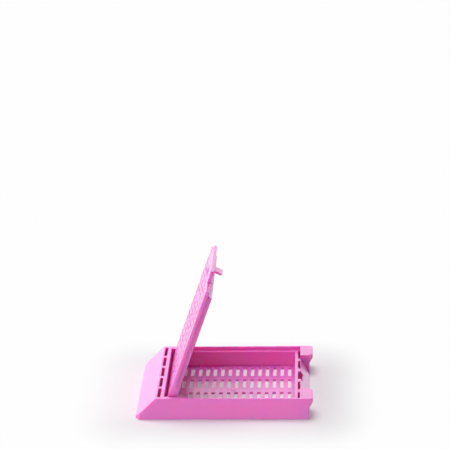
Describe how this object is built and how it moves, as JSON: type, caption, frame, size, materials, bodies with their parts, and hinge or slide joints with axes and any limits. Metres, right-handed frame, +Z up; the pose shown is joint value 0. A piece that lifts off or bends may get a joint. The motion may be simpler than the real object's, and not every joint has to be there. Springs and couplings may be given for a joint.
{
  "type": "tissue cassette",
  "caption": "Small perforated plastic cassette for a tissue sample: a tray with a slanted writing face and a hinged perforated lid that snaps shut at the other end.",
  "frame": {"origin": "middle of the tray's underside", "axes": "+X from the writing end towards the latch end, +Y across the tray, +Z up out of the chamber"},
  "size_m": [0.041, 0.0286, 0.0345],
  "materials": {
    "moulded_plastic": "satin moulded acetal, opaque pink"
  },
  "bodies": {
    "base": {"base": "moulded_plastic"},
    "lid": {"lid": "moulded_plastic"}
  },
  "joints": [
    {"name": "lid_hinge", "type": "hinge", "parent": "base", "child": "lid", "pos_m": [-0.01187, 0, 0.0039], "axis": [0, -1, 0], "range_deg": [-70.4, 34.6]}
  ]
}
